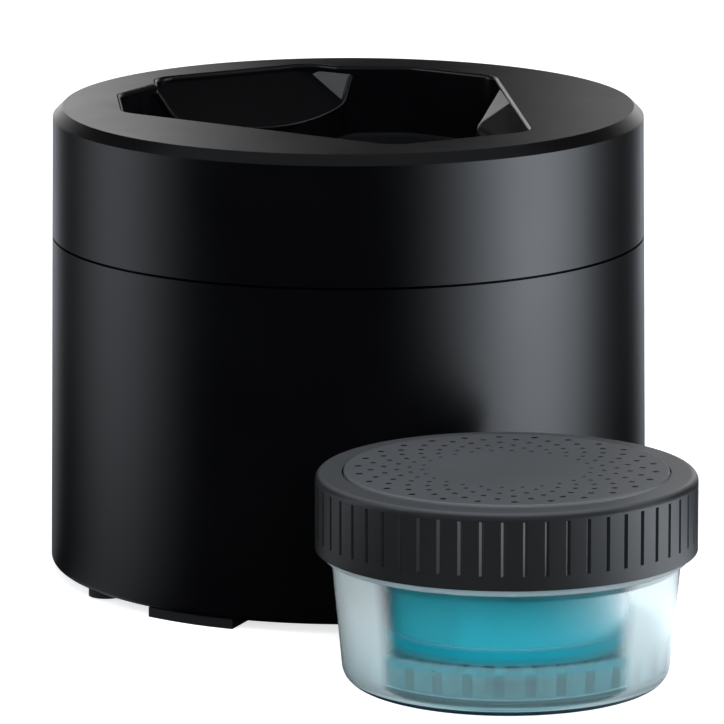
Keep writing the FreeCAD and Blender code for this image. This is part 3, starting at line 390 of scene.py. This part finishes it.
# levels in mm above the table: the cup's foot, tinted deeper where thick and painted dark at the
# very bottom as a contact shadow; pale veils painted over the shade among the ribs and below the
# pot;
# and a pale band at the neck's root, a painted highlight
cupLow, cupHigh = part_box("cartridge_cup")
cupCentre = ((cupLow.x + cupHigh.x) / 2, (cupLow.y + cupHigh.y) / 2)
cupSkin = {
    "centre": cupCentre, "radius": 31.3, "draft": 0.0968, "outerRough": 0.05, "innerRough": 0.15,
    "milkiest": 0.6, "foot": 14.0, "cloud": "#d6e2e3",
    "tintAndPaintedLightBands": [
        (0.0, "#102b36", 0.75), (1.5, "#1c4754", 0.75), (1.9, "#8ccbd0", 0.6),
        (2.5, "#b0d9de", 0.12), (7.6, "#b4dade", 0.12), (8.5, "#86c3cb", 0.22),
        (9.7, "#86c3cb", 0.22), (10.4, "#d9f1f4", 0.0), (12.4, "#f8fcfc", 0.0),
        (24.6, "#f8fcfc", 0.0), (24.9, "#cfe0e3", 0.35), (26.0, "#cfe0e3", 0.35),
        (26.4, "#f8fcfc", 0.0),
    ],
}
# the same for the pot: its floor and its corner, painted teal and milky as painted light over the
# shade at the liquid's bottom, and clear wall above
potSkin = {
    "centre": cupCentre, "radius": 23.8, "draft": 0.0, "outerRough": 0.14, "innerRough": 0.1,
    "milkiest": 0.0, "foot": 1.0, "cloud": "#e4eff1",
    "tintAndPaintedLightBands": [
        (0.0, "#4fa9b4", 0.6), (9.0, "#4fa9b4", 0.6), (9.8, "#22a3b3", 0.7),
        (11.2, "#22a3b3", 0.7), (11.6, "#52bcc9", 0.3), (11.9, "#f4fafb", 0.0),
        (26.0, "#f4fafb", 0.0),
    ],
}

cupPlastic = clearPlastic("clearMouldedSanCup", cupSkin)
potPlastic = clearPlastic("clearMouldedPolypropylenePot", potSkin)
fluid = cleaningLiquid("dyedCleaningLiquid", liquidSizes)
rubber = softRubber("mouldedElastomerBlack", "#0c0c0d", "#161617")
linerFoam = softRubber("pressedFoamLiner", "#8e9290", "#a3a7a4")
screwSteel = platedSteel("zincPlatedSteel", steelSizes)
foam = openFoam("reticulatedFilterFoam", foamSizes)

# what each node of the frame is made of
dress(["base_casing"], casingPlastic)
dress(["top_casing"], topPlastic)
dress(["left_guide", "right_guide"], guidePlastic)
dress(["base_plate", "cartridge_bay", "shaver_basin", "nozzle_plate"], innerPlastic)
dress(["rim_seal", "front_left_foot", "front_right_foot", "back_foot", "basin_gasket",
       "throat_seal"], rubber)
dress(["base_screws", "bay_screws", "basin_screws"], screwSteel)
dress(["cartridge_cup"], cupPlastic)
dress(["inner_pot"], potPlastic)
dress(["cleaning_fluid"], fluid)
dress(["filter_ring"], foam)
dress(["cup_lid"], lidPlastic)
dress(["cap_liner"], linerFoam)
dress(["cap_ring"], capPlasticPaintedTop)
dress(["cap_disc"], discPlasticPaintedSheen)
print("stage: materials on the frame's nodes")

# light goes straight through the clear walls, so the liquid behind them isn't in the dark
for name in ("cartridge_cup", "inner_pot"):
    nodes[name].visible_shadow = False


# the cap's disc, in mm: a raised plate with curved arms of small holes
discSizes = {
    "radius": 31.3, "seat": 40.4, "top": 41.55, "edge": 0.35,
    "arms": 26, "holesPerArm": 6, "firstRing": 16.2, "lastRing": 28.6, "twist": 34,
    "smallHole": 0.45, "largeHole": 0.72, "holeDepth": 0.5, "shadeDepth": 0.05,
    "shadeFit": 0.98, "holeSides": 14, "sides": 128, "softAngle": 35, "cutAngle": 12,
}


def piercedDisc(s):
    # a flat disc with a rounded rim
    r, seat, top, edge = s["radius"], s["seat"], s["top"], s["edge"]
    turns = [math.radians(a) for a in (90, 60, 30, 0)]
    rim = [(r - edge + edge * math.sin(a), top - edge + edge * math.cos(a)) for a in turns]
    bm = lathe([(0, seat), (r, seat)] + rim + [(0, top)], cupCentre, s["sides"])
    smoothByAngle(bm, s["softAngle"])
    return makePiece("capDisc", bm, discPlasticPaintedSheen, "cap", ["cap_disc"])


def holePlaces(s):
    # curved arms of holes, wider towards the rim: (x, y, radius) in metres
    for arm in range(s["arms"]):
        for k in range(s["holesPerArm"]):
            t = k / (s["holesPerArm"] - 1)
            ring = s["firstRing"] + (s["lastRing"] - s["firstRing"]) * t
            angle = math.radians(360 * arm / s["arms"] + s["twist"] * t)
            radius = s["smallHole"] + (s["largeHole"] - s["smallHole"]) * t
            yield (
                cupCentre[0] + ring * mm * math.cos(angle),
                cupCentre[1] + ring * mm * math.sin(angle), radius * mm,
            )


def discHoles(s):
    # short pins that cut the holes, half of each above the disc's face
    bm = bmesh.new()
    for x, y, radius in holePlaces(s):
        bmesh.ops.create_cone(
            bm, cap_ends=True, segments=s["holeSides"], radius1=radius, radius2=radius,
            depth=2 * s["holeDepth"] * mm, matrix=Matrix.Translation((x, y, s["top"] * mm)),
        )
    return meshObject("discHoles", bm)


def paintedHoleShades(s):
    # painted shade: dark plugs just below the disc's face that stand in for the shade inside the
    # narrow holes
    depth = (s["holeDepth"] - s["shadeDepth"]) * s["shadeFit"]
    middle = s["top"] - (s["holeDepth"] + s["shadeDepth"]) / 2
    bm = bmesh.new()
    for x, y, radius in holePlaces(s):
        fitted = radius * s["shadeFit"]
        bmesh.ops.create_cone(
            bm, cap_ends=True, segments=s["holeSides"], radius1=fitted, radius2=fitted,
            depth=depth * mm, matrix=Matrix.Translation((x, y, middle * mm)),
        )
    return makePiece("paintedHoleShades", bm, paintedHoleShade, "cap")


def cutAway(piece, cutter, degrees):
    # subtract, keep the result as the piece's own mesh with its sharp edges, drop the cutter
    modifier = piece.modifiers.new("cut", "BOOLEAN")
    modifier.operation = "DIFFERENCE"
    modifier.solver = "EXACT"
    modifier.object = cutter
    graph = bpy.context.evaluated_depsgraph_get()
    cutMesh = bpy.data.meshes.new_from_object(piece.evaluated_get(graph))
    piece.modifiers.clear()
    bm = bmesh.new()
    bm.from_mesh(cutMesh)
    smoothByAngle(bm, degrees)
    bm.to_mesh(piece.data)
    bm.free()
    bpy.data.meshes.remove(cutMesh)
    bpy.data.objects.remove(cutter)


capDisc = piercedDisc(discSizes)
cutAway(capDisc, discHoles(discSizes), discSizes["cutAngle"])
shades = paintedHoleShades(discSizes)

# the dark cap casts no mirror image into the glossy pod behind it
for piece in (nodes["cap_ring"], capDisc, shades):
    piece.visible_glossy = False
print("stage: cap disc", len(capDisc.data.polygons), "faces")


# the thread on the cup's neck, in mm
threadSizes = {
    "inner": 32.4, "outer": 33.2, "foot": 1.6, "crest": 0.5, "from": 28.0, "pitch": 8.0,
    "turns": 0.9, "starts": 3, "steps": 64, "softAngle": 30,
}


def neckThread(s):
    # several short ridges of trapezoid section that climb round the neck
    section = [
        (s["inner"], s["from"] - s["foot"] / 2), (s["outer"], s["from"] - s["crest"] / 2),
        (s["outer"], s["from"] + s["crest"] / 2), (s["inner"], s["from"] + s["foot"] / 2),
    ]
    share = s["turns"] / s["starts"]
    bm = bmesh.new()
    for start in range(s["starts"]):
        turn = Matrix.Rotation(math.tau * start / s["starts"], 4, "Z")
        corners = [
            bm.verts.new(turn @ Vector((r * mm, 0, z * mm)) + Vector((*cupCentre, 0)))
            for r, z in section
        ]
        face = bm.faces.new(corners)
        bmesh.ops.spin(
            bm, geom=[face] + face.edges[:] + corners, cent=(*cupCentre, 0), axis=(0, 0, 1),
            dvec=(0, 0, s["pitch"] * share * mm / s["steps"]), angle=share * math.tau,
            steps=s["steps"], use_merge=False,
        )
    bmesh.ops.remove_doubles(bm, verts=bm.verts[:], dist=tiny)
    bmesh.ops.recalc_face_normals(bm, faces=bm.faces[:])
    smoothByAngle(bm, s["softAngle"])
    return makePiece("neckThread", bm, cupPlastic, "cartridge")


neckThread(threadSizes).visible_shadow = False
print("stage: neck thread")


# rounded lip along the free edge of the recess's rear tongue, in mm: an arc across its front,
# in the tongue's sloping plane, and a short rise up each cheek
lipSizes = {
    "front": 31.45, "arcRadius": 40.1, "bead": 0.55, "sink": 0.4, "beadSides": 3,
    "order": 4, "spans": 6,  # of the smooth curve through the route
    "planeFrom": (32.0, 87.0), "planeTo": (48.2, 94.6),
    "arcEnd": 18.0, "arcPoints": 7,
    "cheek": [(20.6, 37.0, 89.3), (21.5, 38.0, 91.8), (23.0, 38.7, 94.2)],
}


def tongueLip(s):
    # the plane is given as (y, z) at two places, and the cheek as (x, y, z) on the right
    (y0, z0), (y1, z1) = s["planeFrom"], s["planeTo"]
    rise = (z1 - z0) / (y1 - y0)
    route = [(-x, y, z) for x, y, z in reversed(s["cheek"])]
    for k in range(s["arcPoints"]):
        x = s["arcEnd"] * (2 * k / (s["arcPoints"] - 1) - 1)
        y = s["front"] + s["arcRadius"] - math.sqrt(s["arcRadius"] ** 2 - x * x)
        route.append((x, y, z0 + (y - y0) * rise - s["sink"]))
    route += s["cheek"]
    curve = bpy.data.curves.new("tongueLip", "CURVE")
    curve.dimensions = "3D"
    curve.bevel_depth = s["bead"] * mm
    curve.bevel_resolution = s["beadSides"]
    curve.use_fill_caps = True
    spline = curve.splines.new("NURBS")
    spline.points.add(len(route) - 1)
    for point, place in zip(spline.points, route):
        point.co = (*(Vector(place) * mm), 1)
    spline.use_endpoint_u = True
    spline.order_u = s["order"]
    spline.resolution_u = s["spans"]
    curve.materials.append(topPlastic)
    lip = addObject("tongueLip", curve)
    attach(lip, "top_section")


tongueLip(lipSizes)
print("stage: tongue lip")


# the set: a white floor, a camera with a long lens to the left of the front, and lights
viewSizes = {
    "azimuth": -30.0, "distance": 1450.0, "height": 344.4, "pitch": 11.76, "yaw": 0.11,
    "lens": 360.0, "sensor": 36.0, "nearest": 0.05, "farthest": 50.0,
}


def towards(bearing, distance, height):
    # a place round the pod in metres; bearing 0 is the camera's side, and it grows to the right
    a = math.radians(viewSizes["azimuth"] + bearing)
    return Vector((math.sin(a) * distance, -math.cos(a) * distance, height))


def seenStraightOn(tree, rays):
    # 1 where the camera looks, also through clear plastic, but not in a reflection within it
    unturned = addNode(tree, "ShaderNodeMath", {
        0: (rays, "Glossy Depth"), 1: 0.5,
    }, operation="LESS_THAN")
    through = addNode(tree, "ShaderNodeMath", {
        0: (rays, "Is Transmission Ray"), 1: (unturned, 0),
    }, operation="MULTIPLY")
    return addNode(tree, "ShaderNodeMath", {
        0: (rays, "Is Camera Ray"), 1: (through, 0),
    }, operation="MAXIMUM")


floorSizes = {
    "half": 4.0, "glow": 0.72, "albedo": "#d9d9d9", "tint": "#eef6ff",
    # how bright the floor is in gloss: (degrees from the camera's side, tone), for the
    # direction that a ray takes once an upright wall of the radius below has mirrored it
    "tones": [
        (-180, 0.6), (-160, 0.6), (-148, 0.1), (-140, 0.05), (-131, 0.1), (-121, 0.34),
        (-112, 0.66), (-104, 0.93), (-96, 0.99), (-89, 0.95), (-82, 0.68), (-75, 0.42),
        (-69, 0.2), (-62, 0.05), (-56, 0.0), (16, 0.0), (24, 0.11), (35, 0.53), (46, 1.6),
        (57, 3.2), (68, 4.7), (81, 4.6), (95, 2.6), (110, 0.55), (121, 0.15), (131, 0.05),
        (146, 0.08), (160, 0.62), (180, 0.6),
    ],
    "wall": 0.0605,
    # less of that close to the pod: (metres from the axis, share)
    "near": (0.07, 0.33), "far": (0.35, 1.0),
}


def toneRamp(tree, source, tones):
    # a grey ramp over (place, tone) pairs; gives its link and the strength of its white
    brightest = max(tone for _, tone in tones)
    marks = [(place, [tone / brightest] * 3 + [1]) for place, tone in tones]
    return (addRamp(tree, source, marks), 0), brightest


def paleFloor(s):
    # white to the eye and darker only in the object's shade; in gloss it is a graded table
    # with a dark strip towards the camera, so the black wall has soft upright bands
    bm = bmesh.new()
    bmesh.ops.create_grid(bm, x_segments=1, y_segments=1, size=s["half"])
    floor = meshObject("floor", bm)
    material, tree, place = startMaterial("paintedWhiteSweep")
    rays = addNode(tree, "ShaderNodeLightPath")
    across, ahead = [
        addNode(tree, "ShaderNodeVectorMath", {
            0: (place, "Object"), 1: towards(bearing, 1, 0),
        }, operation="DOT_PRODUCT")
        for bearing in (90, 0)
    ]
    bearing = addNode(tree, "ShaderNodeMath", {
        0: (across, "Value"), 1: (ahead, "Value"),
    }, operation="ARCTAN2")
    reach = addNode(tree, "ShaderNodeVectorMath", {0: (place, "Object")}, operation="LENGTH")
    ratio = addNode(tree, "ShaderNodeMath", {
        0: s["wall"], 1: (reach, "Value"),
    }, operation="DIVIDE")
    # from the floor's own bearing to the direction of the mirrored ray, in two closer steps
    turned = bearing
    for step in range(2):
        half = addNode(tree, "ShaderNodeMath", {0: (turned, 0), 1: 0.5}, operation="MULTIPLY")
        sine = addNode(tree, "ShaderNodeMath", {0: (half, 0)}, operation="SINE")
        offset = addNode(tree, "ShaderNodeMath", {
            0: (sine, 0), 1: (ratio, 0),
        }, operation="MULTIPLY")
        angle = addNode(tree, "ShaderNodeMath", {0: (offset, 0)}, operation="ARCSINE")
        turned = addNode(tree, "ShaderNodeMath", {0: (bearing, 0), 1: (angle, 0)})
    degrees = addNode(tree, "ShaderNodeMath", {0: (turned, 0)}, operation="DEGREES")
    tone, brightest = toneRamp(tree, (degrees, 0), s["tones"])
    share = addNode(tree, "ShaderNodeMapRange", {
        "Value": (reach, "Value"), "From Min": s["near"][0], "From Max": s["far"][0],
        "To Min": s["near"][1] * brightest, "To Max": s["far"][1] * brightest,
    })
    tinted = addNode(tree, "ShaderNodeMix", {
        0: 1.0, 6: tone, 7: linear(s["tint"]),
    }, data_type="RGBA", blend_type="MULTIPLY")
    mirrored = addNode(tree, "ShaderNodeEmission", {"Color": (tinted, 2), "Strength": (share, 0)})
    matt = addNode(tree, "ShaderNodeBsdfDiffuse", {"Color": linear(s["albedo"])})
    glow = addNode(tree, "ShaderNodeEmission", {"Strength": s["glow"]})
    lit = addNode(tree, "ShaderNodeAddShader", {0: (matt, 0), 1: (glow, 0)})
    unseen = addNode(tree, "ShaderNodeMixShader", {
        0: (rays, "Is Glossy Ray"), 1: (matt, 0), 2: (mirrored, 0),
    })
    # a ray through clear plastic counts as glossy too, so this choice comes last
    finishMaterial(material, tree, addNode(tree, "ShaderNodeMixShader", {
        0: (seenStraightOn(tree, rays), 0), 1: (unseen, 0), 2: (lit, 0),
    }))
    floor.data.materials.append(material)


cardSizes = {
    "distance": 1.45, "halfWidth": 1.8, "low": 0.0, "high": 0.82,
    # how bright the card is at each place across it, in metres from its middle
    "tones": [
        (-1.8, 0.05), (-1.1, 0.12), (-0.8, 0.3), (-0.48, 0.9), (-0.26, 1.25), (-0.11, 1.0),
        (-0.076, 0.42), (-0.046, 0.1), (-0.02, 0.0), (0.04, 0.0), (0.076, 0.06), (0.11, 0.42),
        (0.2, 0.7), (0.34, 0.9), (0.48, 1.2), (0.8, 0.42), (1.1, 0.16), (1.8, 0.05),
    ],
}


def backCard(s):
    # a graded card behind the set that only gloss sees, so the flat black top has a sheen
    bm = bmesh.new()
    corners = []
    for side, height in ((-1, s["low"]), (1, s["low"]), (1, s["high"]), (-1, s["high"])):
        across = towards(90, s["halfWidth"] * side, 0)
        corners.append(bm.verts.new(towards(180, s["distance"], height) + across))
    bm.faces.new(corners)
    card = meshObject("backCard", bm)
    for rays in ("camera", "diffuse", "shadow", "transmission"):
        setattr(card, "visible_" + rays, False)
    material, tree, place = startMaterial("gradedCard")
    across = addNode(tree, "ShaderNodeVectorMath", {
        0: (place, "Object"), 1: towards(90, 1, 0),
    }, operation="DOT_PRODUCT")
    tone, brightest = toneRamp(tree, (across, "Value"), s["tones"])
    finishMaterial(material, tree, addNode(tree, "ShaderNodeEmission", {
        "Color": tone, "Strength": brightest,
    }))
    card.data.materials.append(material)


worldSizes = {"fill": 0.5, "glossy": 0.03, "seen": 1.0}


def softRoom(s):
    # an even room, white to the eye and nearly black in gloss
    world = bpy.data.worlds.new("softRoom")
    world.use_nodes = True
    tree = world.node_tree
    tree.nodes.clear()
    rays = addNode(tree, "ShaderNodeLightPath")
    level = addNode(tree, "ShaderNodeMix", {
        0: (rays, "Is Glossy Ray"), 2: s["fill"], 3: s["glossy"],
    })
    strength = addNode(tree, "ShaderNodeMix", {
        0: (seenStraightOn(tree, rays), 0), 2: (level, 0), 3: s["seen"],
    })
    room = addNode(tree, "ShaderNodeBackground", {
        "Color": (1, 1, 1, 1), "Strength": (strength, 0),
    })
    addNode(tree, "ShaderNodeOutputWorld", {"Surface": (room, 0)})
    bpy.context.scene.world = world


def addCamera(s):
    data = bpy.data.cameras.new("camera")
    data.lens = s["lens"]
    data.sensor_width = s["sensor"]
    data.clip_start = s["nearest"]
    data.clip_end = s["farthest"]
    camera = addObject("camera", data)
    camera.location = towards(0, s["distance"] * mm, s["height"] * mm)
    camera.rotation_euler = (
        math.radians(90 - s["pitch"]), 0, math.radians(s["azimuth"] - s["yaw"]),
    )
    bpy.context.scene.camera = camera


# four boxes that only gloss sees draw the highlights; the key and the fill light the colours
lampTint = (0.88, 0.94, 1.0)
lampAim = Vector((-0.01, -0.03, 0.05))  # between the pod and the cartridge, in metres
lampSizes = {
    "rightBox": {
        "bearing": 88, "distance": 1.0, "height": 0.35, "size": (0.6, 0.9), "watts": 2,
        "gloss": True,
    },
    "leftBox": {
        "bearing": -99, "distance": 1.0, "height": 0.35, "size": (0.36, 0.9), "watts": 1,
        "gloss": True,
    },
    "topBox": {
        "bearing": 0, "distance": 0.45, "height": 1.3, "size": (3.0, 1.9), "watts": 3.5,
        "gloss": True,
    },
    "cheekBox": {
        "bearing": -75, "distance": 0.78, "height": 0.72, "size": (0.3, 0.3), "watts": 0.55,
        "gloss": True,
    },
    "keyBox": {
        "bearing": 20, "distance": 1.1, "height": 0.85, "size": (1.2, 1.2), "watts": 25,
        "gloss": False,
    },
    "fillBox": {
        "bearing": -60, "distance": 1.1, "height": 0.4, "size": (1.0, 0.8), "watts": 6,
        "gloss": False,
    },
}


def addLamp(name, s):
    data = bpy.data.lights.new(name, "AREA")
    data.shape = "RECTANGLE"
    data.size, data.size_y = s["size"]
    data.energy = s["watts"]
    data.color = lampTint
    lamp = addObject(name, data)
    lamp.location = towards(s["bearing"], s["distance"], s["height"])
    lamp.rotation_euler = (lampAim - lamp.location).to_track_quat("-Z", "Y").to_euler()
    lamp.visible_glossy = s["gloss"]
    lamp.visible_diffuse = not s["gloss"]
    lamp.visible_transmission = False


paleFloor(floorSizes)
backCard(cardSizes)
softRoom(worldSizes)
addCamera(viewSizes)
for name, sizes in lampSizes.items():
    addLamp(name, sizes)
bpy.context.scene.view_settings.view_transform = "Standard"
print("stage: floor, lights and camera")
